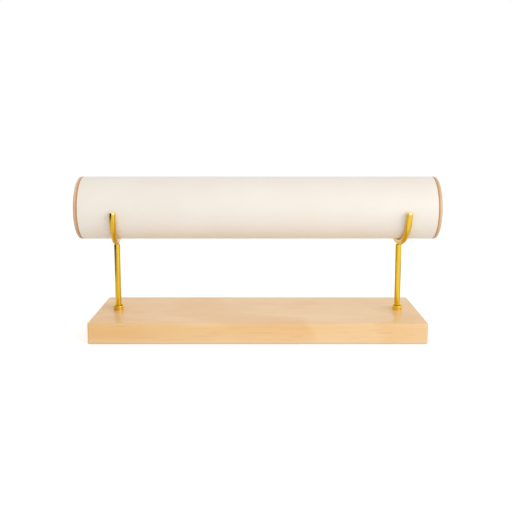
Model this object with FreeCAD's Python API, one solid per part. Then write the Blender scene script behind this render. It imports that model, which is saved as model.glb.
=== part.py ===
"""Bracelet display stand: a leatherette roll lying in two round-bar forks on a beech board.

Millimetres, +Z up, +X along the roll, -Y to the front. The origin is on the surface that the
stand rests on, below the middle of the board.
"""

import FreeCAD, Part

import math
import os

Vector = FreeCAD.Vector

# Board
board_overhang = 17.3
board_depth = 85.0
board_thickness = 17.3
board_corner_round = 2.0
board_top_round = 1.0
board_underside_round = 0.6

# Roll: a stiff tube, wrapped in leatherette and closed by a turned cap at each end
roll_length = 300.0
roll_overhang = 30.0
roll_diameter = 52.5
cover_thickness = 1.0
cover_edge_chamfer = 0.45
cover_seam_gap = 0.3
cover_seam_angle = 40.0
wrap_clearance = 0.05
tube_wall = 2.5
cap_rim = 3.2
cap_outer_round = 1.3
cap_inner_chamfer = 0.45
cap_plug_length = 10.0
cap_plug_chamfer = 1.0
cap_plug_clearance = 0.1

# Forks: a half ring of round bar on the flat top of a post
fork_turn = 5.0
bar_diameter = 5.0
bar_end_chamfer = 0.5
cradle_sweep = 176.0
cradle_clearance = 0.3
roll_rest_gap = 0.05
post_diameter = 5.0
post_length = 56.0
post_edge_chamfer = 0.3
pin_diameter = 3.0
pin_length = 2.8
pin_chamfer = 0.4
pin_hole_clearance = 0.05
pin_hole_spare_depth = 0.4

# Collar round the foot of each post
collar_height = 3.8
collar_floor = 1.2
collar_wall = 1.4
collar_lip_width = 0.75
collar_lip_height = 1.4
collar_lip_chamfer = 0.4
collar_lip_land = 0.35
collar_mouth_depth = 1.5
collar_socket_clearance = 0.1

# Stud, washer and nut in a counterbore under each post
stud_diameter = 4.0
stud_hole_clearance = 0.25
stud_end_length = 1.0
stud_end_chamfer = 0.5
stud_end_recess = 2.0
counterbore_clearance = 1.5
washer_diameter = 9.0
washer_thickness = 0.8
nut_across_flats = 7.0
nut_height = 3.2
nut_thread_clearance = 0.05
nut_corner_angle = 30.0
nut_countersink = 0.4

# Heights and radii that follow from the sizes above
fork_spacing = roll_length - 2 * roll_overhang
board_length = fork_spacing + 2 * board_overhang
roll_radius = roll_diameter / 2
bar_radius = bar_diameter / 2
post_foot_height = board_thickness + collar_floor
post_top_height = post_foot_height + post_length
roll_axis_height = post_top_height + bar_diameter + roll_rest_gap + roll_radius
cradle_radius = (roll_radius + cradle_clearance + bar_radius) / math.cos(math.radians(fork_turn))
cradle_centre_height = post_top_height + bar_radius + cradle_radius
cover_inner_radius = roll_radius - cover_thickness
tube_outer_radius = cover_inner_radius - wrap_clearance
tube_inner_radius = tube_outer_radius - tube_wall
tube_length = roll_length - 2 * cap_rim
stud_hole_radius = stud_diameter / 2 + stud_hole_clearance
nut_underside_height = stud_end_recess + stud_end_length
washer_underside_height = nut_underside_height + nut_height
counterbore_depth = washer_underside_height + washer_thickness
counterbore_radius = washer_diameter / 2 + counterbore_clearance


# Ways of making a shape
def turned(outline):
    """Solid turned round the Z axis from the corners (radius, height) of its half section."""
    corners = [Vector(radius, 0, height) for radius, height in outline]
    face = Part.Face(Part.makePolygon(corners + corners[:1]))
    return face.revolve(Vector(0, 0, 0), Vector(0, 0, 1), 360)


def one_solid(shape):
    """The single solid of a result, without leftover seams."""
    (solid,) = shape.removeSplitter().Solids
    return solid


def flat_edges_at(shape, height):
    """The edges of a shape that lie flat at a height."""
    return [
        edge
        for edge in shape.Edges
        if abs(edge.BoundBox.ZMin - height) < 1e-6 and abs(edge.BoundBox.ZMax - height) < 1e-6
    ]


# Board
def make_board():
    """Board with rounded corners and softened edges, drilled and counterbored for both posts."""
    low_corner = Vector(-board_length / 2, -board_depth / 2, 0)
    board = Part.makeBox(board_length, board_depth, board_thickness, low_corner)
    upright = [edge for edge in board.Edges if abs(edge.BoundBox.ZLength - board_thickness) < 1e-6]
    board = board.makeFillet(board_corner_round, upright)
    board = board.makeFillet(board_top_round, flat_edges_at(board, board_thickness))
    board = board.makeFillet(board_underside_round, flat_edges_at(board, 0))
    for side in (-1, 1):
        place = Vector(side * fork_spacing / 2, 0, 0)
        board = board.cut(Part.makeCylinder(stud_hole_radius, board_thickness, place))
        board = board.cut(Part.makeCylinder(counterbore_radius, counterbore_depth, place))
    return one_solid(board)


# Fork
def make_post():
    """Post with a pin on its flat top and a stud below its shoulder, standing at the origin."""
    post_radius = post_diameter / 2
    pin_radius = pin_diameter / 2
    stud_radius = stud_diameter / 2
    pin_top = post_top_height + pin_length
    return turned(
        [
            (0, stud_end_recess),
            (stud_radius - stud_end_chamfer, stud_end_recess),
            (stud_radius, stud_end_recess + stud_end_chamfer),
            (stud_radius, post_foot_height),
            (post_radius - post_edge_chamfer, post_foot_height),
            (post_radius, post_foot_height + post_edge_chamfer),
            (post_radius, post_top_height - post_edge_chamfer),
            (post_radius - post_edge_chamfer, post_top_height),
            (pin_radius, post_top_height),
            (pin_radius, pin_top - pin_chamfer),
            (pin_radius - pin_chamfer, pin_top),
            (0, pin_top),
        ]
    )


def bar_end(centre, side):
    """Chamfered end of the bar on the front (-1) or back (+1) arm of a cradle."""
    half_sweep = math.radians(cradle_sweep / 2)
    outwards = Vector(0, side * math.sin(half_sweep), -math.cos(half_sweep))
    along_bar = Vector(0, side * math.cos(half_sweep), math.sin(half_sweep))
    place = centre + outwards * cradle_radius
    return Part.makeCone(
        bar_radius, bar_radius - bar_end_chamfer, bar_end_chamfer, place, along_bar
    )


def make_cradle():
    """Half ring of round bar under the roll, its ends chamfered, with a blind hole for the pin."""
    lowest = Vector(0, 0, post_top_height + bar_radius)
    section = Part.Face(Part.Wire(Part.makeCircle(bar_radius, lowest, Vector(0, 1, 0))))
    centre = Vector(0, 0, cradle_centre_height)
    along_roll = Vector(1, 0, 0)
    section.rotate(centre, along_roll, -cradle_sweep / 2)
    ring = section.revolve(centre, along_roll, cradle_sweep)
    ring = ring.fuse([bar_end(centre, -1), bar_end(centre, 1)])
    hole_radius = pin_diameter / 2 + pin_hole_clearance
    hole_depth = pin_length + pin_hole_spare_depth
    hole = Part.makeCylinder(hole_radius, hole_depth, Vector(0, 0, post_top_height))
    cradle = one_solid(ring.cut(hole))
    cradle.rotate(Vector(0, 0, 0), Vector(0, 0, 1), fork_turn)
    return cradle


def make_collar():
    """Turned collar: a floor under the post's shoulder, a socket and a countersunk mouth."""
    socket_radius = post_diameter / 2 + collar_socket_clearance
    body_radius = socket_radius + collar_wall
    lip_radius = body_radius + collar_lip_width
    land_radius = lip_radius - collar_lip_chamfer
    top = board_thickness + collar_height
    lip_underside = top - collar_lip_height
    return turned(
        [
            (stud_hole_radius, board_thickness),
            (body_radius, board_thickness),
            (body_radius, lip_underside),
            (land_radius, lip_underside),
            (lip_radius, lip_underside + collar_lip_chamfer),
            (lip_radius, top - collar_lip_chamfer),
            (land_radius, top),
            (land_radius - collar_lip_land, top),
            (socket_radius, top - collar_mouth_depth),
            (socket_radius, post_foot_height),
            (stud_hole_radius, post_foot_height),
        ]
    )


# Fasteners under the board
def make_washer():
    """Flat washer against the top of the counterbore."""
    outer_radius = washer_diameter / 2
    return turned(
        [
            (stud_hole_radius, washer_underside_height),
            (outer_radius, washer_underside_height),
            (outer_radius, counterbore_depth),
            (stud_hole_radius, counterbore_depth),
        ]
    )


def make_nut():
    """Hexagon nut with chamfered corners and a countersunk thread, up against the washer."""
    flat_radius = nut_across_flats / 2
    corner_radius = flat_radius / math.cos(math.radians(30))
    thread_radius = stud_diameter / 2 + nut_thread_clearance
    mouth_radius = thread_radius + nut_countersink
    corner_drop = (corner_radius - flat_radius) * math.tan(math.radians(nut_corner_angle))
    blank = turned(
        [
            (mouth_radius, nut_underside_height),
            (flat_radius, nut_underside_height),
            (corner_radius, nut_underside_height + corner_drop),
            (corner_radius, washer_underside_height - corner_drop),
            (flat_radius, washer_underside_height),
            (mouth_radius, washer_underside_height),
            (thread_radius, washer_underside_height - nut_countersink),
            (thread_radius, nut_underside_height + nut_countersink),
        ]
    )
    corners = [
        Vector(
            corner_radius * math.cos(math.radians(60 * i)),
            corner_radius * math.sin(math.radians(60 * i)),
            nut_underside_height,
        )
        for i in range(7)
    ]
    hexagon = Part.Face(Part.makePolygon(corners)).extrude(Vector(0, 0, nut_height))
    return one_solid(blank.common(hexagon))


# Roll
def laid_along_roll(shape):
    """A copy of a shape made round the Z axis, laid along the roll's own axis."""
    laid = shape.copy()
    laid.rotate(Vector(0, 0, 0), Vector(0, 1, 0), 90)
    laid.translate(Vector(0, 0, roll_axis_height))
    return laid


def make_tube():
    """Stiff tube between the two caps."""
    half = tube_length / 2
    tube = turned(
        [
            (tube_inner_radius, -half),
            (tube_outer_radius, -half),
            (tube_outer_radius, half),
            (tube_inner_radius, half),
        ]
    )
    return laid_along_roll(tube)


def make_cover():
    """Leatherette wrapped once round the tube, its two edges meeting at a lengthwise butt seam."""
    half = tube_length / 2
    edge_radius = roll_radius - cover_edge_chamfer
    wrap = turned(
        [
            (cover_inner_radius, -half),
            (edge_radius, -half),
            (roll_radius, -half + cover_edge_chamfer),
            (roll_radius, half - cover_edge_chamfer),
            (edge_radius, half),
            (cover_inner_radius, half),
        ]
    )
    low_corner = Vector(-half, -cover_seam_gap / 2, -roll_diameter)
    slit = Part.makeBox(tube_length, cover_seam_gap, roll_diameter, low_corner)
    slit.rotate(Vector(0, 0, 0), Vector(1, 0, 0), cover_seam_angle)
    slit.translate(Vector(0, 0, roll_axis_height))
    return one_solid(laid_along_roll(wrap).cut(slit))


def make_cap():
    """Turned cap for the roll's +X end: a rim as wide as the cover and a plug in the tube."""
    plug_radius = tube_inner_radius - cap_plug_clearance
    outer = roll_length / 2
    rim_back = outer - cap_rim
    plug_end = rim_back - cap_plug_length
    cap = turned(
        [
            (0, plug_end),
            (plug_radius - cap_plug_chamfer, plug_end),
            (plug_radius, plug_end + cap_plug_chamfer),
            (plug_radius, rim_back),
            (roll_radius - cap_inner_chamfer, rim_back),
            (roll_radius, rim_back + cap_inner_chamfer),
            (roll_radius, outer),
            (0, outer),
        ]
    )
    cap = cap.makeFillet(cap_outer_round, flat_edges_at(cap, outer))
    return laid_along_roll(one_solid(cap))


# The whole stand
def beside(shape, side):
    """A copy of a shape made at the middle, moved to the left (-1) or right (+1) fork."""
    moved = shape.copy()
    moved.translate(Vector(side * fork_spacing / 2, 0, 0))
    return moved


def all_pieces():
    """Every piece of the stand by name, in its place."""
    cap = make_cap()
    left_cap = cap.copy()
    left_cap.rotate(Vector(0, 0, 0), Vector(0, 0, 1), 180)
    pieces = {
        "base_board": make_board(),
        "roll_tube": make_tube(),
        "roll_cover": make_cover(),
        "left_end_cap": left_cap,
        "right_end_cap": cap,
    }
    fork_pieces = {
        "post": make_post(),
        "cradle": make_cradle(),
        "collar": make_collar(),
        "washer": make_washer(),
        "nut": make_nut(),
    }
    for side, side_name in ((-1, "left"), (1, "right")):
        for name, shape in fork_pieces.items():
            pieces[f"{side_name}_{name}"] = beside(shape, side)
    return pieces


def main():
    os.makedirs("parts", exist_ok=True)
    for name, solid in all_pieces().items():
        solid.exportStep(f"parts/{name}.step")
        print(f"{name}: {solid.Volume / 1000:.2f} cm3, valid {solid.isValid()}")


main()
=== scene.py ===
# %% [markdown]
# # A bracelet display stand
#
# The stand is a long leatherette roll that lies in two gold-coloured forks on a beech board.
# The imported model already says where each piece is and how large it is. This lesson makes the
# surfaces that a close look asks for: rounded edges, turned profiles, a wrapped cover and finishes.

import math

import bmesh
import bpy
from mathutils import Matrix, Vector


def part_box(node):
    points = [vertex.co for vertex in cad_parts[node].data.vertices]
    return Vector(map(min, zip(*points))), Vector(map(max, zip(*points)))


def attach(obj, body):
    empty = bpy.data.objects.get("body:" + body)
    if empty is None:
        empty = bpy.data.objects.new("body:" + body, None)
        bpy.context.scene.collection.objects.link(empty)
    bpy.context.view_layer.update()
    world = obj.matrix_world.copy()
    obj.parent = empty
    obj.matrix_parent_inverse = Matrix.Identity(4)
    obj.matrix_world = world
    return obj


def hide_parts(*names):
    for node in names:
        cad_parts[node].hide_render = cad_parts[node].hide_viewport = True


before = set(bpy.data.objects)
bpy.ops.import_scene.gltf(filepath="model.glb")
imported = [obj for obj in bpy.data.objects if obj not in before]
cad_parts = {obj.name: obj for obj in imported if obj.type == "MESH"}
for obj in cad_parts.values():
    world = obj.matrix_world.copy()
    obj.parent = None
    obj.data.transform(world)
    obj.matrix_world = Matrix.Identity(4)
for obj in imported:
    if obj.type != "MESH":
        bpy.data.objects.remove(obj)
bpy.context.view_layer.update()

# %% [markdown]
# ## Sizes
#
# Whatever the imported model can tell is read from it, so that a new length or width there carries
# over by itself. The sizes that a box can't tell, such as a gap or a rounding, are named here or
# just before the piece that needs them.

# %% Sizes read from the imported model
MM = 0.001
SIDES = ("left", "right")

board_low, board_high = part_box("base_board")
cap_low, cap_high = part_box("right_end_cap")
tube_low, tube_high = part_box("roll_tube")
post_low, post_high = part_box("right_post")
collar_low, collar_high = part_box("right_collar")
washer_low, washer_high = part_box("right_washer")
nut_low, nut_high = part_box("right_nut")

roll_radius = (cap_high.z - cap_low.z) / 2
roll_height = (cap_high.z + cap_low.z) / 2
roll_end = cap_high.x
cover_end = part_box("roll_cover")[1].x
tube_radius = (tube_high.z - tube_low.z) / 2
bar_radius = (post_high.x - post_low.x) / 2
fork_place = {side: sum(corner.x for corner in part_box(f"{side}_post")) / 2 for side in SIDES}
fork_turn = math.radians(5)
print("roll radius", roll_radius, "axis height", roll_height, "forks at", fork_place)

# %% [markdown]
# ## Camera
#
# The stand was seen from just above its roll with a normal lens, from about 60 cm in front.
# Distance sets how much the board narrows towards the back, so it comes first, and the lens then
# sets the size. The shift slides the picture without tilting the posts.

# %% Camera
camera_distance = 585.77 * MM
camera_height = 178.36 * MM
camera_tilt = math.radians(7.3566)
image_side = 512
focal_pixels = 697.0
middle_of_view = (257.8, 211.2)
film_width = 36
scene = bpy.context.scene


def add_object(name, data):
    """An object in the scene, made from its data."""
    thing = bpy.data.objects.new(name, data)
    scene.collection.objects.link(thing)
    return thing


camera_data = bpy.data.cameras.new("Camera")
camera_data.sensor_width = film_width
camera_data.lens = focal_pixels / image_side * film_width
camera_data.shift_x = (image_side / 2 - middle_of_view[0]) / image_side
camera_data.shift_y = (middle_of_view[1] - image_side / 2) / image_side
camera_data.clip_start = 10 * MM
camera = add_object("Camera", camera_data)
camera.location = (0, -camera_distance, camera_height)
camera.rotation_euler = (math.pi / 2 - camera_tilt, 0, 0)
scene.camera = camera
print("lens", round(camera_data.lens, 2), "mm")

# %% [markdown]
# ## Node helpers
#
# A finish or a light is a small network of nodes. These helpers keep a network readable as text:
# one makes a node and feeds it values or other nodes' outputs, and the rest are the sums and blends
# that every network needs. Colours are written as they look on screen, from 0 to 255.

# %% Node helpers
def colour(red, green, blue):
    """A colour written as on screen, in the linear values that nodes work with."""
    parts = [part / 255 for part in (red, green, blue)]
    return (*[p / 12.92 if p <= 0.04045 else ((p + 0.055) / 1.055) ** 2.4 for p in parts], 1)


def feed(tree, socket, value):
    """Links an output to a socket, or sets the socket to a plain value."""
    if isinstance(value, bpy.types.NodeSocket):
        tree.links.new(value, socket)
    else:
        socket.default_value = value


def add_node(tree, kind, inputs, **settings):
    """A node with settings, its inputs fed by name."""
    node = tree.nodes.new(kind)
    for name, value in settings.items():
        setattr(node, name, value)
    for name, value in inputs.items():
        feed(tree, node.inputs[name], value)
    return node


def maths(tree, operation, first, second=0.0):
    """The result of a sum on one or two values."""
    node = tree.nodes.new("ShaderNodeMath")
    node.operation = operation
    feed(tree, node.inputs[0], first)
    feed(tree, node.inputs[1], second)
    return node.outputs[0]


def vector_maths(tree, operation, *vectors):
    """The result of a sum on vectors, which is one value for a length or a dot product."""
    node = tree.nodes.new("ShaderNodeVectorMath")
    node.operation = operation
    for socket, vector in zip(node.inputs, vectors):
        feed(tree, socket, vector)
    return node.outputs["Vector" if operation == "ADD" else "Value"]


def along_axis(tree, vector, axis):
    """How far a vector goes along one axis."""
    return add_node(tree, "ShaderNodeSeparateXYZ", {"Vector": vector}).outputs[axis]


def rescale(tree, value, low, high, new_low=0.0, new_high=1.0):
    """A value's range stretched to another, and held within it."""
    limits = {"From Min": low, "From Max": high, "To Min": new_low, "To Max": new_high}
    return add_node(tree, "ShaderNodeMapRange", {"Value": value, **limits}).outputs["Result"]


def mix(tree, amount, first, second, blend_type="MIX"):
    """Two colours mixed by an amount."""
    node = tree.nodes.new("ShaderNodeMix")
    node.data_type = "RGBA"
    node.blend_type = blend_type
    for index, value in ((0, amount), (6, first), (7, second)):
        feed(tree, node.inputs[index], value)
    return node.outputs[2]


def stretched(tree, vector, scale, rotation=(0, 0, 0), shift=(0, 0, 0)):
    """Coordinates turned, shifted and scaled, for a pattern that runs one way."""
    inputs = {"Vector": vector, "Scale": scale, "Rotation": rotation, "Location": shift}
    return add_node(tree, "ShaderNodeMapping", inputs).outputs["Vector"]


NOISE_RANGE = (0.3, 0.7)


def noise(tree, vector, scale=1.0, detail=2.0, roughness=0.5):
    """Soft random values, most of them within the range above."""
    inputs = {"Vector": vector, "Scale": scale, "Detail": detail, "Roughness": roughness}
    return add_node(tree, "ShaderNodeTexNoise", inputs).outputs["Fac"]


def new_group(name, inputs, outputs):
    """A node group, with its input sockets' outputs and its output sockets' inputs."""
    tree = bpy.data.node_groups.new(name, "ShaderNodeTree")
    for in_out, sockets in (("INPUT", inputs), ("OUTPUT", outputs)):
        for socket, kind in sockets.items():
            tree.interface.new_socket(socket, in_out=in_out, socket_type=f"NodeSocket{kind}")
    given = tree.nodes.new("NodeGroupInput").outputs
    wanted = tree.nodes.new("NodeGroupOutput").inputs
    return tree, given, wanted


def use_group(tree, group, inputs):
    """A group placed in a material, and its outputs."""
    return add_node(tree, "ShaderNodeGroup", inputs, node_tree=group).outputs


def new_material(name):
    """An empty material: its tree, its shader and the coordinates of the piece."""
    material = bpy.data.materials.new(name)
    material.use_nodes = True
    tree = material.node_tree
    shader = tree.nodes["Principled BSDF"]
    coordinates = tree.nodes.new("ShaderNodeTexCoord").outputs["Object"]
    return material, tree, shader, coordinates


def set_surface(tree, shader, tone, roughness, height, strength, distance):
    """Gives a shader its colour, its roughness and a fine relief."""
    relief = {"Height": height, "Strength": strength, "Distance": distance}
    feed(tree, shader.inputs["Base Color"], tone)
    feed(tree, shader.inputs["Roughness"], roughness)
    relief = add_node(tree, "ShaderNodeBump", relief).outputs["Normal"]
    feed(tree, shader.inputs["Normal"], relief)


# %% [markdown]
# ## Light
#
# Polished metal and a pale roll both want broad, soft light. The world gives most of it, evenly
# from all round. One large lamp to the right of the camera adds the roll's gentle fall-off and the
# forks' soft shadows to their left, and a weak one low in front does what a white table top does:
# it lifts the underside of the roll and the front of the board, and doesn't show in the metal. All
# stay at a level where a colour comes out about as it is written.

# %% Lamps and world
lamp_size = 0.8
ambient_level = 0.72


def add_lamp(name, where, power):
    """A square lamp at a place, facing the middle of the roll."""
    data = bpy.data.lights.new(name, "AREA")
    data.shape = "SQUARE"
    data.size = lamp_size
    data.energy = power
    lamp = add_object(name, data)
    lamp.location = where
    towards = Vector((0, 0, roll_height)) - Vector(where)
    lamp.rotation_euler = towards.to_track_quat("-Z", "Y").to_euler()
    return lamp


add_lamp("Key lamp", (1.3, -1.07, 0.9), power=10.2)
table_bounce = add_lamp("Table bounce", (0, -0.7, 0.08), power=0.65)
table_bounce.visible_glossy = False


def seen_directly(tree):
    """1 for rays from the camera, a mirror or glass, and 0 for the light that falls on things."""
    path = tree.nodes.new("ShaderNodeLightPath").outputs
    either = maths(tree, "MAXIMUM", path["Is Camera Ray"], path["Is Glossy Ray"])
    return maths(tree, "MAXIMUM", either, path["Is Transmission Ray"])


world = bpy.data.worlds.new("White room")
scene.world = world
world.use_nodes = True
tree = world.node_tree
background = tree.nodes["Background"].inputs
background["Color"].default_value = (1, 1, 1, 1)
brightness = rescale(tree, seen_directly(tree), 0, 1, ambient_level, 1)
feed(tree, background["Strength"], brightness)
scene.view_settings.view_transform = "Standard"

# %% [markdown]
# ## Cards for the reflections
#
# Polished metal in an all-white room looks flat and grey, because it has only white to mirror. Its
# round shape is drawn by dark and bright cards round the object: curved strips, each an upright
# edge spun about the middle of the stand. Only reflections see them. They cast no shadow and take
# no light from the roll or the board. A card's row gives its distance, the directions in degrees
# where it starts and ends, the heights of its foot and top, and its light, with the room's at 1.

# %% Reflection cards
CARDS = {
    "near left": (0.33, 150, 220, 0, 0.13, 0.26),
    "beside the arm": (0.25, 160, 225, 0.045, 0.14, 0.02),
    "upper left": (0.33, 215, 236, 0.028, 0.14, 0.3),
    "back left": (0.2, 115, 155, 0, 0.02, 0.2),
    "far left": (0.72, 150, 275, 0, 0.16, 0.1),
    "far right": (0.72, 20, 75, 0, 0.09, 0.2),
    "low right": (0.3, 5, 60, 0, 0.02, 0.35),
    "bright right": (0.5, 285, 338, 0, 0.3, 1.35),
}
CARD_STEPS = 24


def mesh_object(bm, name):
    """An object in the scene, made from a bmesh that isn't needed any more."""
    mesh = bpy.data.meshes.new(name)
    bm.to_mesh(mesh)
    bm.free()
    return add_object(name, mesh)


def add_card(name, radius, start, end, foot, top, level):
    """A curved card round the stand between two directions, at a level of light."""
    bm = bmesh.new()
    ends = [bm.verts.new((radius, 0, height)) for height in (foot, top)]
    edge = bm.edges.new(ends)
    sweep = math.radians(end - start)
    bmesh.ops.rotate(bm, verts=ends, matrix=Matrix.Rotation(math.radians(start), 3, "Z"))
    bmesh.ops.spin(
        bm, geom=ends + [edge], cent=(0, 0, 0), axis=(0, 0, 1), angle=sweep, steps=CARD_STEPS
    )
    card = mesh_object(bm, name)
    paint, tree, shader, _ = new_material(name)
    tree.nodes.remove(shader)
    glow = add_node(tree, "ShaderNodeEmission", {"Strength": level}).outputs[0]
    feed(tree, tree.nodes["Material Output"].inputs["Surface"], glow)
    card.data.materials.append(paint)
    for ray in ("camera", "diffuse", "transmission", "volume_scatter", "shadow"):
        setattr(card, f"visible_{ray}", False)


for name, sizes in CARDS.items():
    add_card(f"Card {name}", *sizes)
print("cards", len(CARDS))

# %% [markdown]
# ## Ways of making a mesh
#
# Most of this stand was turned on a lathe or bent from round bar. In Blender both are one
# operator: spin, which carries a profile round an axis. These helpers spin a profile, weld the
# seam and poles that a spin leaves, pick rings of edges by their place and round them off.

# %% Mesh helpers
WELD = 0.001 * MM
TOUCH = 0.005 * MM
LATHE_STEPS = 96
ROLL_STEPS = 160


def weld(bm):
    """Merges doubled points, then turns every face outwards."""
    bmesh.ops.remove_doubles(bm, verts=bm.verts, dist=WELD)
    bmesh.ops.recalc_face_normals(bm, faces=bm.faces)


def spin(bm, geom, angle, steps, axis=(0, 0, 1), **more):
    """Carries a profile round an axis through the origin."""
    bmesh.ops.spin(bm, geom=geom, cent=(0, 0, 0), axis=axis, angle=angle, steps=steps, **more)


def lathe(profile, steps=LATHE_STEPS):
    """A shape turned round the Z axis from the (radius, height) corners of its half section."""
    bm = bmesh.new()
    corners = [bm.verts.new((radius, 0, height)) for radius, height in profile]
    partners = corners[1:] if profile[0][0] == 0 else corners[1:] + corners[:1]
    edges = [bm.edges.new(pair) for pair in zip(corners, partners)]
    spin(bm, corners + edges, 2 * math.pi, steps, use_merge=True)
    weld(bm)
    return bm


def edges_where(bm, test):
    """The edges whose two ends both pass a test."""
    return [edge for edge in bm.edges if all(test(vert.co) for vert in edge.verts)]


def ring_at(bm, radius, height):
    """The edges of the ring at a radius and height on a turned shape."""
    return edges_where(
        bm, lambda co: abs(co.xy.length - radius) < TOUCH and abs(co.z - height) < TOUCH
    )


def round_off(bm, edges, width, segments=3):
    """Rounds edges off to a width."""
    bmesh.ops.bevel(
        bm,
        geom=edges,
        offset=width,
        offset_type="OFFSET",
        segments=segments,
        profile=0.5,
        affect="EDGES",
        material=-1,
        clamp_overlap=False,
    )


def round_rings(bm, rings, width, segments=3):
    """Rounds off several rings of a turned shape, each given by its (radius, height)."""
    for radius, height in rings:
        round_off(bm, ring_at(bm, radius, height), width, segments)


def place(bm, *moves):
    """Moves a shape by one transform after another."""
    for move in moves:
        bmesh.ops.transform(bm, matrix=move, verts=bm.verts)


def to_fork(side):
    """The transform that carries a shape from the middle of the stand to a fork."""
    return Matrix.Translation((fork_place[side], 0, 0))


def finish_piece(bm, name, sharp_angle=40):
    """Turns a bmesh into an object at the origin, smooth except at its sharp edges."""
    weld(bm)
    piece = mesh_object(bm, name)
    piece.data.shade_smooth()
    piece.data.set_sharp_from_angle(angle=math.radians(sharp_angle))
    even_shading = piece.modifiers.new("Even shading", "WEIGHTED_NORMAL")
    even_shading.keep_sharp = True
    size = [round(side / MM, 2) for side in piece.dimensions]
    print(name, len(piece.data.polygons), "faces, size", size, "mm")
    return piece


# %% [markdown]
# Two shapes here are cut by another: the half ring is drilled for a pin, and the nut's hexagon
# meets a turned blank. A Boolean modifier does that as the workshop does, with the tool as a second
# mesh. It is applied at once, so the piece keeps a plain mesh and the tool is thrown away.

# %% Cutting one shape with another
def cut(bm, tool, operation="DIFFERENCE"):
    """The bmesh left when a tool's bmesh is taken from a shape, or when both are kept in common."""
    blank = mesh_object(bm, "workpiece")
    cutter = mesh_object(tool, "workpiece")
    modifier = blank.modifiers.new("Cut", "BOOLEAN")
    modifier.operation = operation
    modifier.solver = "EXACT"
    modifier.object = cutter
    result = bmesh.new()
    result.from_object(blank, bpy.context.evaluated_depsgraph_get())
    for used in (blank, cutter):
        mesh = used.data
        bpy.data.objects.remove(used)
        bpy.data.meshes.remove(mesh)
    return result


# %% [markdown]
# ## Board
#
# The board is one plank of beech, planed, its corners rounded and its edges sanded soft. Two holes
# go through it for the forks' studs, with a wide counterbore below each for a nut. A cube is
# scaled to the plank and its edges are bevelled, the four upright ones first, as a sander would.
# Each hole is drawn as a circle that steps inwards and upwards by extrusion, and the flat faces are
# filled again round its mouth, which keeps the plank's sides whole.

# %% Board shape
corner_round = 2.0 * MM
top_round = 1.0 * MM
underside_round = 0.6 * MM
stud_hole_radius = 2.25 * MM
counterbore_radius = 6.0 * MM
counterbore_mouth = 0.25 * MM
counterbore_top = washer_high.z


def level_edges(bm, height):
    """The edges that lie flat at a height."""
    return edges_where(bm, lambda co: abs(co.z - height) < TOUCH)


def open_flat(bm, height):
    """Takes away the widest face at a height and gives the edges that were round it."""
    flat = [face for face in bm.faces if abs(face.calc_center_median().z - height) < TOUCH]
    widest = max(flat, key=lambda face: face.calc_area())
    rim = list(widest.edges)
    bmesh.ops.delete(bm, geom=[widest], context="FACES_ONLY")
    return rim


def step_hole(bm, ring, centre, radius, height):
    """Extrudes a ring of edges to a new radius and height, and gives the new ring."""
    made = bmesh.ops.extrude_edge_only(bm, edges=ring)["geom"]
    verts = [item for item in made if isinstance(item, bmesh.types.BMVert)]
    old_radius = (verts[0].co.xy - centre.xy).length
    to_centre = Matrix.Translation(-centre)
    factor = radius / old_radius
    bmesh.ops.scale(bm, vec=(factor, factor, 1), space=to_centre, verts=verts)
    bmesh.ops.translate(bm, vec=(0, 0, height - verts[0].co.z), verts=verts)
    new_verts = set(verts)
    return [
        item
        for item in made
        if isinstance(item, bmesh.types.BMEdge) and new_verts.issuperset(item.verts)
    ]


def make_board():
    """The plank with softened edges and two stepped holes."""
    bm = bmesh.new()
    bmesh.ops.create_cube(bm, size=1)
    bmesh.ops.scale(bm, vec=board_high - board_low, verts=bm.verts)
    bmesh.ops.translate(bm, vec=(board_low + board_high) / 2, verts=bm.verts)
    upright = [edge for edge in bm.edges if abs(edge.verts[0].co.z - edge.verts[1].co.z) > TOUCH]
    round_off(bm, upright, corner_round, segments=8)
    round_off(bm, level_edges(bm, board_high.z), top_round, segments=5)
    round_off(bm, level_edges(bm, board_low.z), underside_round, segments=3)
    top_rim = open_flat(bm, board_high.z)
    underside_rim = open_flat(bm, board_low.z)
    for side in SIDES:
        centre = Vector((fork_place[side], 0, board_low.z))
        verts = bmesh.ops.create_circle(
            bm,
            cap_ends=False,
            radius=counterbore_radius + counterbore_mouth,
            segments=64,
            matrix=Matrix.Translation(centre),
        )["verts"]
        ring = list({edge for vert in verts for edge in vert.link_edges})
        underside_rim += ring
        for radius, height in (
            (counterbore_radius, board_low.z + counterbore_mouth),
            (counterbore_radius, counterbore_top),
            (stud_hole_radius, counterbore_top),
            (stud_hole_radius, board_high.z),
        ):
            ring = step_hole(bm, ring, centre, radius, height)
        top_rim += ring
    for rim in (top_rim, underside_rim):
        bmesh.ops.triangle_fill(bm, edges=rim, use_beauty=True, use_dissolve=False)
    return finish_piece(bm, "Board")


board = make_board()

# %% [markdown]
# ## Posts
#
# Each fork stands on a round rod with a shoulder at its foot, a threaded stud below that goes
# through the board, and a short pin on top that carries the half ring. It is turned in one piece,
# so its half section is spun. The thread is a three-cornered ridge carried round and up at once:
# spin takes a shift along the axis for each step, which is all that a helix is. The ridge's crest
# and end are given as shares of its pitch.

# %% Post shape
rest_gap = 0.05 * MM
collar_floor = 1.2 * MM
post_edge = 0.3 * MM
pin_radius = 1.5 * MM
pin_edge = 0.4 * MM
thread_radius = 2.0 * MM
thread_depth = 0.42 * MM
thread_pitch = 0.7 * MM
thread_steps = 24
thread_crest = 0.42
thread_end = 0.84
core_share = 0.9

post_foot = board_high.z + collar_floor
post_top = roll_height - roll_radius - rest_gap - 2 * bar_radius
pin_top = post_high.z
stud_end = post_low.z


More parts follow.
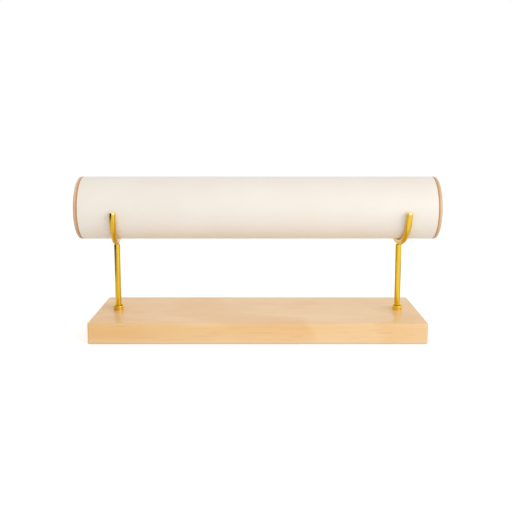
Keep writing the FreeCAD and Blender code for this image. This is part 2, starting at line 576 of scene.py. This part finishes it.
def add_thread(bm, low, high):
    """Adds a helical ridge to a stud between two heights."""
    turns = int((high - low) / thread_pitch)
    root = thread_radius - thread_depth
    corners = [
        bm.verts.new((root, 0, low)),
        bm.verts.new((thread_radius, 0, low + thread_pitch * thread_crest)),
        bm.verts.new((root, 0, low + thread_pitch * thread_end)),
    ]
    edges = [bm.edges.new((corners[i], corners[(i + 1) % 3])) for i in range(3)]
    rise = (0, 0, thread_pitch / thread_steps)
    spin(bm, corners + edges, 2 * math.pi * turns, thread_steps * turns, dvec=rise)
    open_edges = [edge for edge in bm.edges if edge.is_boundary]
    bmesh.ops.holes_fill(bm, edges=open_edges, sides=3)


def make_post(side):
    """The rod with its pin and threaded stud."""
    core = thread_radius - thread_depth * core_share
    bm = lathe(
        [
            (0, stud_end),
            (core - post_edge, stud_end),
            (core, stud_end + post_edge),
            (core, post_foot),
            (bar_radius, post_foot),
            (bar_radius, post_top),
            (pin_radius, post_top),
            (pin_radius, pin_top),
            (0, pin_top),
        ]
    )
    round_rings(bm, [(bar_radius, post_foot), (bar_radius, post_top)], post_edge)
    round_rings(bm, [(pin_radius, pin_top)], pin_edge)
    add_thread(bm, stud_end + post_edge, post_foot)
    place(bm, to_fork(side))
    return finish_piece(bm, f"Post_{side}")


posts = {side: make_post(side) for side in SIDES}

# %% [markdown]
# ## Half rings
#
# The roll lies in a half ring of the same round bar, bent a little over the roll's own radius. A
# circle is spun about the roll's axis instead of its own, from the front tip down under the roll
# and up to the back tip. The cut ends are filled and inset with a little depth, which makes the
# chamfer, and the ring is then drilled from below for the post's pin.

# %% Half ring shape
side_gap = 0.3 * MM
ring_sweep = math.radians(176)
ring_steps = 110
bar_chamfer = 0.5 * MM
bar_end_round = 0.2 * MM
pin_gap = 0.05 * MM
pin_hole_radius = pin_radius + pin_gap
pin_hole_depth = 3.2 * MM

ring_radius = (roll_radius + side_gap + bar_radius) / math.cos(fork_turn)
ring_height = post_top + bar_radius + ring_radius


def make_half_ring(side):
    """The bent bar that the roll lies in."""
    bm = bmesh.new()
    front_tip = Matrix.Rotation((math.pi - ring_sweep) / 2, 4, "X") @ Matrix.Translation(
        (0, -ring_radius, 0)
    )
    bar = bmesh.ops.create_circle(
        bm, cap_ends=False, radius=bar_radius, segments=40, matrix=front_tip
    )["verts"]
    spin(bm, bar + list(bm.edges), ring_sweep, ring_steps, axis=(1, 0, 0))
    open_edges = [edge for edge in bm.edges if edge.is_boundary]
    ends = bmesh.ops.holes_fill(bm, edges=open_edges, sides=0)["faces"]
    weld(bm)
    for end in ends:
        bmesh.ops.inset_region(
            bm, faces=[end], thickness=bar_chamfer, depth=bar_chamfer, use_even_offset=True
        )
        round_off(bm, list(end.edges), bar_end_round, segments=2)
    place(bm, Matrix.Translation((0, 0, ring_height)))
    drill = bmesh.new()
    bmesh.ops.create_cone(
        drill,
        cap_ends=True,
        segments=48,
        radius1=pin_hole_radius,
        radius2=pin_hole_radius,
        depth=2 * pin_hole_depth,
        matrix=Matrix.Translation((0, 0, post_top)),
    )
    bm = cut(bm, drill)
    place(bm, Matrix.Rotation(fork_turn, 4, "Z"), to_fork(side))
    return finish_piece(bm, f"Half_ring_{side}")


half_rings = {side: make_half_ring(side) for side in SIDES}

# %% [markdown]
# ## Collars
#
# A small turned collar hides the hole at each post's foot. Its lip and its dished mouth are what
# the eye finds there, so the profile is spun with its true steps, and the rings that catch the
# light are rounded.

# %% Collar shape
collar_wall = 1.4 * MM
socket_gap = 0.1 * MM
lip_height = 1.4 * MM
mouth_depth = 1.5 * MM
mouth_land = 0.35 * MM
collar_edge = 0.1 * MM
lip_round = 0.6 * MM

lip_radius = (collar_high.x - collar_low.x) / 2
mouth_radius = lip_radius - lip_round - mouth_land
collar_top = collar_high.z


def make_collar(side):
    """The turned collar round a post's foot."""
    socket = bar_radius + socket_gap
    body = socket + collar_wall
    lip_under = collar_top - lip_height
    bm = lathe(
        [
            (stud_hole_radius, board_high.z),
            (body, board_high.z),
            (body, lip_under),
            (lip_radius, lip_under),
            (lip_radius, collar_top),
            (mouth_radius, collar_top),
            (socket, collar_top - mouth_depth),
            (socket, post_foot),
            (stud_hole_radius, post_foot),
        ]
    )
    round_rings(bm, [(lip_radius, lip_under), (lip_radius, collar_top)], lip_round, segments=5)
    round_rings(bm, [(body, lip_under), (mouth_radius, collar_top)], collar_edge, segments=2)
    place(bm, to_fork(side))
    return finish_piece(bm, f"Collar_{side}")


collars = {side: make_collar(side) for side in SIDES}

# %% [markdown]
# ## Washers and nuts
#
# Under the board a washer and a nut pull each post down. The washer is a spun rectangle. A nut is
# turned from hexagon bar: the turned blank, a hair wider than the bar's corners, gives the curved
# corners, and cutting it down to the hexagon they share leaves the flats.

# %% Washer and nut shapes
washer_edge = 0.15 * MM
thread_gap = 0.05 * MM
nut_countersink = 0.4 * MM
corner_slope = math.tan(math.radians(30))
hexagon_turn = math.radians(30)
blank_spare = 1.001

washer_radius = (washer_high.x - washer_low.x) / 2
nut_flat = (nut_high.y - nut_low.y) / 2
nut_corner = nut_flat / math.cos(hexagon_turn)
blank_radius = nut_corner * blank_spare


def make_washer(side):
    """The flat washer at the top of the counterbore."""
    outer = [(washer_radius, washer_low.z), (washer_radius, washer_high.z)]
    inner = [(stud_hole_radius, washer_high.z), (stud_hole_radius, washer_low.z)]
    bm = lathe(outer + inner)
    round_rings(bm, outer + inner, washer_edge, segments=2)
    place(bm, to_fork(side))
    return finish_piece(bm, f"Washer_{side}")


def make_nut(side):
    """The hexagon nut under the washer."""
    drop = (nut_corner - nut_flat) * corner_slope
    hole = thread_radius + thread_gap
    bm = lathe(
        [
            (hole + nut_countersink, nut_low.z),
            (nut_flat, nut_low.z),
            (blank_radius, nut_low.z + drop),
            (blank_radius, nut_high.z - drop),
            (nut_flat, nut_high.z),
            (hole + nut_countersink, nut_high.z),
            (hole, nut_high.z - nut_countersink),
            (hole, nut_low.z + nut_countersink),
        ]
    )
    hexagon = bmesh.new()
    middle = Matrix.Translation((0, 0, (nut_low.z + nut_high.z) / 2))
    bmesh.ops.create_cone(
        hexagon,
        cap_ends=True,
        segments=6,
        radius1=nut_corner,
        radius2=nut_corner,
        depth=2 * (nut_high.z - nut_low.z),
        matrix=middle @ Matrix.Rotation(hexagon_turn, 4, "Z"),
    )
    bm = cut(bm, hexagon, "INTERSECT")
    place(bm, to_fork(side))
    return finish_piece(bm, f"Nut_{side}", sharp_angle=20)


washers = {side: make_washer(side) for side in SIDES}
nuts = {side: make_nut(side) for side in SIDES}

# %% [markdown]
# ## End caps
#
# A turned wooden cap closes each end of the roll. Its rim is as wide as the cover and its plug
# goes into the tube. The rim's outer edge is well rounded, and its inner edge is broken just
# enough to leave a fine groove beside the cover, which the cap's material darkens further with
# painted shade. The turned cap is then laid along the roll.

# %% End cap shape
cap_outer_round = 1.3 * MM
cap_inner_edge = 0.45 * MM
plug_chamfer = 1.0 * MM
tube_wall = 2.5 * MM
plug_gap = 0.1 * MM

plug_end = cap_low.x
rim_back = cover_end


def make_cap(side):
    """The turned cap at one end of the roll."""
    plug_radius = tube_radius - tube_wall - plug_gap
    bm = lathe(
        [
            (0, plug_end),
            (plug_radius, plug_end),
            (plug_radius, rim_back),
            (roll_radius, rim_back),
            (roll_radius, roll_end),
            (0, roll_end),
        ],
        steps=ROLL_STEPS,
    )
    round_rings(bm, [(roll_radius, roll_end)], cap_outer_round, segments=6)
    round_rings(bm, [(roll_radius, rim_back)], cap_inner_edge, segments=2)
    round_rings(bm, [(plug_radius, plug_end)], plug_chamfer, segments=1)
    to_end = math.pi / 2 if side == "right" else -math.pi / 2
    place(bm, Matrix.Rotation(to_end, 4, "Y"), Matrix.Translation((0, 0, roll_height)))
    return finish_piece(bm, f"End_cap_{side}")


caps = {side: make_cap(side) for side in SIDES}

# %% [markdown]
# ## Cover
#
# The cover is one rectangle of leatherette, drawn tight round the tube and glued, its two long
# edges meeting low at the back. It is a sheet, so it starts as a line of points along the roll that
# spin carries almost all the way round. Solidify gives it its thickness inwards, and its cut edges
# are then rounded, because a soft sheet has no sharp corner.

# %% Cover shape
cover_thickness = 1.0 * MM
cover_edge = 0.45 * MM
seam_edge = 0.25 * MM
seam_gap = 0.3 * MM
seam_angle = math.radians(40)
steps_along = 120


def make_cover():
    """The leatherette sheet wrapped once round the roll."""
    bm = bmesh.new()
    step = 2 * cover_end / steps_along
    line = [bm.verts.new((-cover_end + i * step, 0, -roll_radius)) for i in range(steps_along + 1)]
    edges = [bm.edges.new(pair) for pair in zip(line, line[1:])]
    half_gap = seam_gap / 2 / roll_radius
    first_edge = Matrix.Rotation(seam_angle + half_gap, 4, "X")
    place(bm, first_edge)
    spin(bm, line + edges, 2 * math.pi - 2 * half_gap, ROLL_STEPS, axis=(1, 0, 0))
    weld(bm)
    bmesh.ops.solidify(bm, geom=bm.faces, thickness=cover_thickness)
    weld(bm)
    outer = [vert for vert in bm.verts if abs(vert.co.yz.length - roll_radius) < TOUCH]
    skin = set(outer)
    border = [
        edge
        for edge in bm.edges
        if skin.issuperset(edge.verts) and edge.calc_face_angle(0) > math.pi / 4
    ]
    ends = [edge for edge in border if abs(edge.verts[0].co.x - edge.verts[1].co.x) < TOUCH]
    seam = [edge for edge in border if abs(edge.verts[0].co.x - edge.verts[1].co.x) > TOUCH]
    print("cover's rounded edges: ends", len(ends), "seam", len(seam))
    round_off(bm, ends, cover_edge, segments=3)
    seam = [edge for edge in seam if edge.is_valid]
    round_off(bm, seam, seam_edge, segments=2)
    place(bm, Matrix.Translation((0, 0, roll_height)))
    return finish_piece(bm, "Cover")


cover = make_cover()

# %% [markdown]
# ## Painted edge highlights
#
# Rounded edges catch the light, so every material paints them a little lighter than the flat
# beside it: a painted highlight. The Bevel node gives the normal that the surface would have if its
# edges were rounder. Where that differs from the true normal there is an edge, and one group serves
# every material. The turn between the two normals is given as its cosine.

# %% Edge group
edge_turn = (0.995, 0.9)
edge_patch_scale = 260
edge_patch_share = (0.45, 1)

edge_highlight_group, given, wanted = new_group(
    "Painted edge highlights",
    {"Width": "Float", "Vector": "Vector"},
    {"Mask": "Float"},
)
rounder = add_node(edge_highlight_group, "ShaderNodeBevel", {"Radius": given["Width"]}, samples=6)
true_normal = edge_highlight_group.nodes.new("ShaderNodeNewGeometry").outputs["Normal"]
match = vector_maths(edge_highlight_group, "DOT_PRODUCT", rounder.outputs["Normal"], true_normal)
edge = rescale(edge_highlight_group, match, *edge_turn)
patchy = noise(edge_highlight_group, given["Vector"], edge_patch_scale)
patchy = rescale(edge_highlight_group, patchy, 0.3, 0.6, *edge_patch_share)
feed(edge_highlight_group, wanted["Mask"], maths(edge_highlight_group, "MULTIPLY", edge, patchy))
print("edge group has", len(edge_highlight_group.nodes), "nodes")


def paint_edge_highlight(tree, vector, width, amount, tone, highlight_tone):
    """A tone that goes over to a painted highlight tone at the edges of a piece."""
    mask = use_group(tree, edge_highlight_group, {"Vector": vector, "Width": width})["Mask"]
    return mix(tree, maths(tree, "MULTIPLY", mask, amount), tone, highlight_tone)


# %% [markdown]
# ## Beech
#
# Beech is pale and quiet: growth rings that hardly show, straight fibres, and many short brown
# flecks along the grain. The pattern is made in the solid, not on the surface, with the tree's
# centre below the plank. The rings then meet properly on the top, the side and the end grain, as on
# real wood. Every part of it is stretched along the fibres. Broad soft patches and a few long
# streaks keep so plain a plank from looking printed. A slow change of depth from one end to the
# other is painted light fall-off: the board comes out deeper at its left end and paler at its
# right, nearer the lamp.
# Each one's row gives the range of its values and the share of the deep tone at either end of it.

# %% Beech group
RINGS_PER_SCALE = 2 * math.pi / 20
wander_reach = 0.028
ring_depth = 0.12
falloff_reach = 0.14
fleck_amount = 0.16
groove_share = 0.6
beech_roughness = (0.42, 0.54)

beech_group, given, wanted = new_group(
    "Beech",
    {
        "Vector": "Vector",
        "Pale": "Color",
        "Deep": "Color",
        "Fleck": "Color",
        "Ring spacing": "Float",
    },
    {"Color": "Color", "Roughness": "Float", "Height": "Float"},
)


def grain(scale, detail, roughness=0.5):
    """Soft random values in the wood, at a scale along the fibres and two across them."""
    vector = stretched(beech_group, given["Vector"], scale)
    return noise(beech_group, vector, 1, detail, roughness)


wander = maths(beech_group, "MULTIPLY", grain((9, 30, 30), 3), wander_reach)
sideways = add_node(beech_group, "ShaderNodeCombineXYZ", {"Y": wander, "Z": wander}).outputs[0]
bent = vector_maths(beech_group, "ADD", given["Vector"], sideways)
ring_scale = maths(beech_group, "DIVIDE", RINGS_PER_SCALE, given["Ring spacing"])
rings = add_node(
    beech_group,
    "ShaderNodeTexWave",
    {"Vector": bent, "Scale": ring_scale, "Distortion": 0.6, "Detail": 2},
    wave_type="RINGS",
    rings_direction="X",
    wave_profile="SAW",
).outputs["Fac"]

fibre = grain((30, 1300, 1300), 3, 0.6)
flecks = rescale(beech_group, grain((260, 2600, 2600), 1), 0.66, 0.74)
dashes = rescale(beech_group, grain((45, 620, 620), 0), 0.66, 0.76)
patches = grain((9, 40, 40), 2)
figure = grain((14, 26, 26), 1)
streaks = grain((16, 420, 420), 2)
# Painted light: a tone change along the group's X, deeper at the board's left end and paler at its
# right.
light_falloff = along_axis(beech_group, given["Vector"], "X")

depth = maths(beech_group, "MULTIPLY", rings, ring_depth)
for pattern, low, high, shallow, deep in (
    (patches, 0.35, 0.68, 0, 0.45),
    (figure, 0.47, 0.55, 0, 0.42),
    (streaks, 0.5, 0.72, 0, 0.1),
    (fibre, *NOISE_RANGE, -0.05, 0.07),
    (light_falloff, -falloff_reach, falloff_reach, 0.22, -0.14),
):
    share = rescale(beech_group, pattern, low, high, shallow, deep)
    depth = maths(beech_group, "ADD", depth, share)
wood = mix(beech_group, depth, given["Pale"], given["Deep"])
either = maths(beech_group, "MAXIMUM", flecks, dashes)
speck = maths(beech_group, "MULTIPLY", either, fleck_amount)
feed(beech_group, wanted["Color"], mix(beech_group, speck, wood, given["Fleck"]))
feed(beech_group, wanted["Roughness"], rescale(beech_group, fibre, *NOISE_RANGE, *beech_roughness))
grooves = maths(beech_group, "MULTIPLY", flecks, groove_share)
feed(beech_group, wanted["Height"], maths(beech_group, "SUBTRACT", fibre, grooves))
print("beech group has", len(beech_group.nodes), "nodes")

# %% [markdown]
# The board and the caps are both beech, but not from one plank: the caps are darker and their
# fibres run up and down. Each material gives the shared group its own colours and direction. The
# clear matt finish is a thin coat on top. The board is painted paler low down, a painted light from
# the white table in front, and greyer at its very foot, a painted contact shadow where it stands.
# A fine dark line of painted shade lies on each cap in the joint beside the cover.

# %% Wood materials
crevice_shade_width = 1.6 * MM
crevice_shade_depth = 0.85
foot_shadow_height = 1.6 * MM
foot_shadow_depth = 0.7
foot_shadow_tone = colour(190, 180, 155)
low_light_reach = 7 * MM
low_light_depth = 0.45
low_light_tone = colour(244, 214, 176)
wood_edge = 1.2 * MM
wood_edge_highlight = 0.35
grain_strength = 0.18
grain_height = 0.05 * MM
coat_weight = 0.45
coat_roughness = 0.28


def beech_material(name, tones, ring_spacing, shift, rotation=(0, 0, 0), rim=None, foot=None):
    """Beech in given tones, with painted shade beside a rim, or painted light low down and a
    painted shadow at its foot.
    """
    material, tree, shader, coordinates = new_material(name)
    pale, deep, fleck = tones
    vector = stretched(tree, coordinates, (1, 1, 1), rotation, shift)
    inputs = {"Vector": vector, "Pale": pale, "Deep": deep, "Fleck": fleck}
    wood = use_group(tree, beech_group, {**inputs, "Ring spacing": ring_spacing})
    # Painted highlight: the rounded edges go over to the pale tone.
    tone = paint_edge_highlight(tree, vector, wood_edge, wood_edge_highlight, wood["Color"], pale)
    if foot is not None:
        height = along_axis(tree, coordinates, "Z")
        # Painted light: the lowest few millimetres paler, as the white table in front lights them.
        low = rescale(tree, height, foot, low_light_reach, low_light_depth, 0)
        tone = mix(tree, low, tone, low_light_tone)
        # Painted contact shadow: the lowest millimetres darker and greyer where the board stands.
        line = rescale(tree, height, 0, foot, foot_shadow_depth, 0)
        tone = mix(tree, line, tone, foot_shadow_tone)
    # Painted shade: a fine dark line on the cap beside the cover, where the joint lies in shade.
    if rim is not None:
        outwards = maths(tree, "ABSOLUTE", along_axis(tree, coordinates, "X"))
        line = rescale(tree, outwards, rim, rim + crevice_shade_width, crevice_shade_depth, 0)
        tone = mix(tree, line, tone, deep)
        tone = mix(tree, line, tone, deep, "MULTIPLY")
    relief = (wood["Height"], grain_strength, grain_height)
    set_surface(tree, shader, tone, wood["Roughness"], *relief)
    shader.inputs["Coat Weight"].default_value = coat_weight
    shader.inputs["Coat Roughness"].default_value = coat_roughness
    return material


beech = beech_material(
    "Beech",
    (colour(248, 212, 161), colour(238, 190, 124), colour(200, 148, 96)),
    ring_spacing=3 * MM,
    shift=(0, -24 * MM, 52 * MM),
    foot=foot_shadow_height,
)
cap_wood = beech_material(
    "Turned beech",
    (colour(232, 194, 150), colour(214, 170, 122), colour(156, 106, 64)),
    ring_spacing=2.2 * MM,
    shift=(0, 15 * MM, 0),
    rotation=(0, math.pi / 2, 0),
    rim=rim_back,
)
print("woods", [wood.name for wood in (beech, cap_wood)])

# %% [markdown]
# ## Leatherette
#
# The cover is smooth cream leatherette: a plastic skin pressed with a very fine pebble. From a step
# away it only takes the hard edge off highlights. Cells of a Voronoi texture make the pebble in
# the bump, their valleys a touch darker, and slow noise gives the faint mottling of a dyed sheet.

# %% Leatherette material
pebble_size = 0.55 * MM
valley_width = 0.16
valley_shade = 0.3
pore_size = 0.2 * MM
pore_share = 0.4
mottle_scale = 22
leather_edge = 0.8 * MM
leather_edge_highlight = 0.7
leather_roughness = (0.5, 0.6)
pebble_strength = 0.2
pebble_height = 0.03 * MM

leatherette, tree, shader, coordinates = new_material("Leatherette")
cells = add_node(
    tree,
    "ShaderNodeTexVoronoi",
    {"Vector": coordinates, "Scale": 1 / pebble_size, "Randomness": 0.9},
    feature="DISTANCE_TO_EDGE",
).outputs["Distance"]
valleys = rescale(tree, cells, 0.0, valley_width)
pores = noise(tree, coordinates, 1 / pore_size, 2)
mottle = noise(tree, coordinates, mottle_scale, 3)
base = mix(tree, rescale(tree, mottle, *NOISE_RANGE), colour(247, 240, 230), colour(244, 235, 223))
base = mix(tree, rescale(tree, valleys, 0, 1, valley_shade, 0), base, colour(232, 222, 206))
# Painted highlight: the cover's rounded edges go over to a paler tone.
base = paint_edge_highlight(tree, coordinates, leather_edge, leather_edge_highlight, base, colour(255, 247, 238))
rough = rescale(tree, mottle, *NOISE_RANGE, *leather_roughness)
skin = maths(tree, "ADD", valleys, maths(tree, "MULTIPLY", pores, pore_share))
set_surface(tree, shader, base, rough, skin, pebble_strength, pebble_height)
shader.inputs["Sheen Weight"].default_value = 0.05
print(leatherette.name, "has", len(tree.nodes), "nodes")

# %% [markdown]
# ## Polished gold colour
#
# The forks are steel with a polished gold-coloured plating. A mirror-like metal takes its look from
# what it reflects, so its own colour stays plain. What tells it from a computer's perfect mirror is
# a very slight cloudiness where it was wiped, and hairlines from polishing. Both come from one
# group, which the plain steel fasteners use as well, with more of each. The edges and the cut tips
# of the arms carry a painted highlight in a pale tone. The collars take a lighter copy of the gold,
# painted light for the brighter reflections they catch, and their mouths carry painted shade, a
# dark tone where the post and lip shade the hollow. Each metal's polish is its lowest and highest
# roughness and how strongly the hairlines show.

# %% Polish group and metal materials
polish_group, given, wanted = new_group(
    "Polish marks",
    {"Vector": "Vector", "Smoothest": "Float", "Roughest": "Float"},
    {"Roughness": "Float", "Height": "Float"},
)
cloud_scale = 180
hair_scale = (9000, 9000, 350)
cloud = rescale(polish_group, noise(polish_group, given["Vector"], cloud_scale, 3, 0.6), 0.35, 0.7)
hairs = noise(polish_group, stretched(polish_group, given["Vector"], hair_scale), 1, 2)
span = maths(polish_group, "SUBTRACT", given["Roughest"], given["Smoothest"])
extra = maths(polish_group, "MULTIPLY", cloud, span)
feed(polish_group, wanted["Roughness"], maths(polish_group, "ADD", given["Smoothest"], extra))
feed(polish_group, wanted["Height"], hairs)

metal_edge = 0.25 * MM
metal_edge_highlight = 0.8
hair_height = 0.01 * MM
tip_highlight_fade = 2.8 * MM
tip_highlight_full = 1.2 * MM
mouth_shade_fade = 0.5 * MM
mouth_shade_depth = 0.85
mouth_shade_tone = colour(92, 54, 6)


def metal_material(name, tone, highlight_tone, polish, mouth=None, tips=None):
    """A polished metal with painted highlights at its edges and tips, and painted shade in a
    collar's mouth.
    """
    smoothest, roughest, hairline = polish
    material, tree, shader, coordinates = new_material(name)
    marks = {"Vector": coordinates, "Smoothest": smoothest, "Roughest": roughest}
    marks = use_group(tree, polish_group, marks)
    # Painted highlight: the edges go over to the pale highlight tone.
    tone = paint_edge_highlight(tree, coordinates, metal_edge, metal_edge_highlight, tone, highlight_tone)
    # Painted highlight: the arms' tips go over to the pale highlight tone.
    if tips is not None:
        height = along_axis(tree, coordinates, "Z")
        tip_highlight = rescale(tree, height, tips - tip_highlight_fade, tips - tip_highlight_full)
        tone = mix(tree, tip_highlight, tone, highlight_tone)
    # Painted shade: the collar's mouth goes over to a dark tone, where the post and lip shade the
    # hollow.
    if mouth is not None:
        outwards = maths(tree, "ABSOLUTE", along_axis(tree, coordinates, "X"))
        from_fork = {
            "X": maths(tree, "SUBTRACT", outwards, fork_place["right"]),
            "Y": along_axis(tree, coordinates, "Y"),
        }
        from_fork = add_node(tree, "ShaderNodeCombineXYZ", from_fork).outputs[0]
        radius = vector_maths(tree, "LENGTH", from_fork)
        mouth_shade = rescale(tree, radius, mouth - mouth_shade_fade, mouth, mouth_shade_depth, 0)
        tone = mix(tree, mouth_shade, tone, mouth_shade_tone)
    relief = (marks["Height"], hairline, hair_height)
    set_surface(tree, shader, tone, marks["Roughness"], *relief)
    shader.inputs["Metallic"].default_value = 1
    return material


GOLD = colour(230, 190, 62)
# A lighter copy of the gold: painted light for the collars' brighter reflections.
LIT_COLLAR_GOLD = colour(244, 206, 78)
HIGHLIGHT_GOLD = colour(255, 238, 170)
ZINC = colour(196, 198, 202)
HIGHLIGHT_ZINC = colour(222, 224, 228)
gold_polish = (0.12, 0.2, 0.02)
zinc_polish = (0.22, 0.42, 0.2)

collar_gold = metal_material(
    "Gold colour with painted shade in its mouth", LIT_COLLAR_GOLD, HIGHLIGHT_GOLD, gold_polish, mouth=mouth_radius
)
gold = metal_material("Polished gold colour", GOLD, HIGHLIGHT_GOLD, gold_polish, tips=roll_height)
zinc = metal_material("Zinc plated steel", ZINC, HIGHLIGHT_ZINC, zinc_polish)
print("metals", [metal.name for metal in (collar_gold, gold, zinc)])

# %% [markdown]
# ## Wound board
#
# The tube inside the roll is wound cardboard. It is closed in by the cover and the caps, but it
# still has a finish of its own: grey-brown paper whose plies run round it in a slow spiral.

# %% Tube material
ply_slant = math.radians(25)
ply_scale = (60, 900, 900)
fibre_scale = 1500
board_roughness = (0.8, 0.95)
fibre_strength = 0.3
fibre_height = 0.05 * MM

wound_board, tree, shader, coordinates = new_material("Wound board")
slant = stretched(tree, coordinates, ply_scale, rotation=(0, 0, ply_slant))
plies = rescale(tree, noise(tree, slant, 1, 3), *NOISE_RANGE)
fibres = noise(tree, coordinates, fibre_scale, 2)
paper = mix(tree, plies, colour(176, 150, 118), colour(150, 124, 94))
paper = mix(tree, rescale(tree, fibres, 0.5, 0.8), paper, colour(196, 174, 142))
rough = rescale(tree, fibres, *NOISE_RANGE, *board_roughness)
set_surface(tree, shader, paper, rough, fibres, fibre_strength, fibre_height)
print(wound_board.name, "has", len(tree.nodes), "nodes")

# %% [markdown]
# ## Dressing the stand
#
# Each new piece takes its material, hides the solid of the imported model that it stands for, and
# rides on the stand's one body. The tube can't be seen, so its solid stays and takes only a finish.

# %% Every piece in its place
def dress(piece, material, node):
    """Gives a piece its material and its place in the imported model."""
    piece.data.materials.clear()
    piece.data.materials.append(material)
    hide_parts(node)
    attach(piece, "root")


dress(board, beech, "base_board")
dress(cover, leatherette, "roll_cover")
for side in SIDES:
    dress(posts[side], gold, f"{side}_post")
    dress(half_rings[side], gold, f"{side}_cradle")
    dress(collars[side], collar_gold, f"{side}_collar")
    dress(washers[side], zinc, f"{side}_washer")
    dress(nuts[side], zinc, f"{side}_nut")
    dress(caps[side], cap_wood, f"{side}_end_cap")

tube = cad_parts["roll_tube"]
tube.data.materials.clear()
tube.data.materials.append(wound_board)

# %% [markdown]
# ## Floor
#
# The stand is on a plain white surface. The floor is pale and takes the stand's shadow as any
# surface would. For the camera and for reflections it also gives off just enough light to come out
# white where nothing shades it, and further away it becomes white by itself, like the background.
# Reflections see it brighter still in front of the stand, all but its left part. Seen from below it
# isn't there, and a hole just smaller than the board lets light reach the board's underside, so
# that this side can be looked at as well.

# %% Floor
floor_size = 8.0
floor_drop = 0.02 * MM
floor_tone = (0.93, 0.93, 0.93, 1)
hole_inset = 3 * MM
camera_lift = 0.32
mirror_lift = 0.06
floor_fade = (0.35, 1.0)
pool_left = (-0.09, -0.03)
pool_near = (-0.05, -0.08)
pool_lift = 0.24

bm = bmesh.new()
bmesh.ops.create_grid(bm, x_segments=1, y_segments=1, size=floor_size / 2)
under_board = bm.faces[:][0]
bmesh.ops.inset_individual(bm, faces=[under_board], thickness=floor_size / 4)
for vert in under_board.verts:
    vert.co.x = math.copysign(board_high.x - hole_inset, vert.co.x)
    vert.co.y = math.copysign(board_high.y - hole_inset, vert.co.y)
bmesh.ops.delete(bm, geom=[under_board], context="FACES")
floor = mesh_object(bm, "Floor")
floor.location.z = board_low.z - floor_drop

floor_paint, tree, shader, coordinates = new_material("White floor")
tree.nodes.remove(shader)
diffuse = add_node(tree, "ShaderNodeBsdfDiffuse", {"Color": floor_tone}).outputs[0]
direct = seen_directly(tree)
path = tree.nodes.new("ShaderNodeLightPath").outputs
seen, mirrored = path["Is Camera Ray"], path["Is Glossy Ray"]
pool = rescale(tree, along_axis(tree, coordinates, "X"), *pool_left, 0, pool_lift)
near = rescale(tree, along_axis(tree, coordinates, "Y"), *pool_near)
lift = maths(tree, "MULTIPLY", direct, mirror_lift)
lift = maths(tree, "ADD", lift, maths(tree, "MULTIPLY", seen, camera_lift))
pool = maths(tree, "MULTIPLY", mirrored, maths(tree, "MULTIPLY", pool, near))
lift = maths(tree, "ADD", lift, pool)
glow = add_node(tree, "ShaderNodeEmission", {"Strength": lift}).outputs[0]
paint = tree.nodes.new("ShaderNodeAddShader")
feed(tree, paint.inputs[0], diffuse)
feed(tree, paint.inputs[1], glow)
far = vector_maths(tree, "LENGTH", coordinates)
fade = maths(tree, "MULTIPLY", direct, rescale(tree, far, *floor_fade))
white = tree.nodes.new("ShaderNodeEmission").outputs[0]
below = tree.nodes.new("ShaderNodeNewGeometry").outputs["Backfacing"]
clear = tree.nodes.new("ShaderNodeBsdfTransparent").outputs[0]


def blend_shaders(amount, first, second):
    """Two shaders mixed by an amount."""
    blend = tree.nodes.new("ShaderNodeMixShader")
    for index, value in enumerate((amount, first, second)):
        feed(tree, blend.inputs[index], value)
    return blend.outputs[0]


paint = blend_shaders(fade, paint.outputs[0], white)
paint = blend_shaders(maths(tree, "MULTIPLY", below, seen), paint, clear)
feed(tree, tree.nodes["Material Output"].inputs["Surface"], paint)
floor.data.materials.append(floor_paint)
print("floor", floor_size, "m wide")
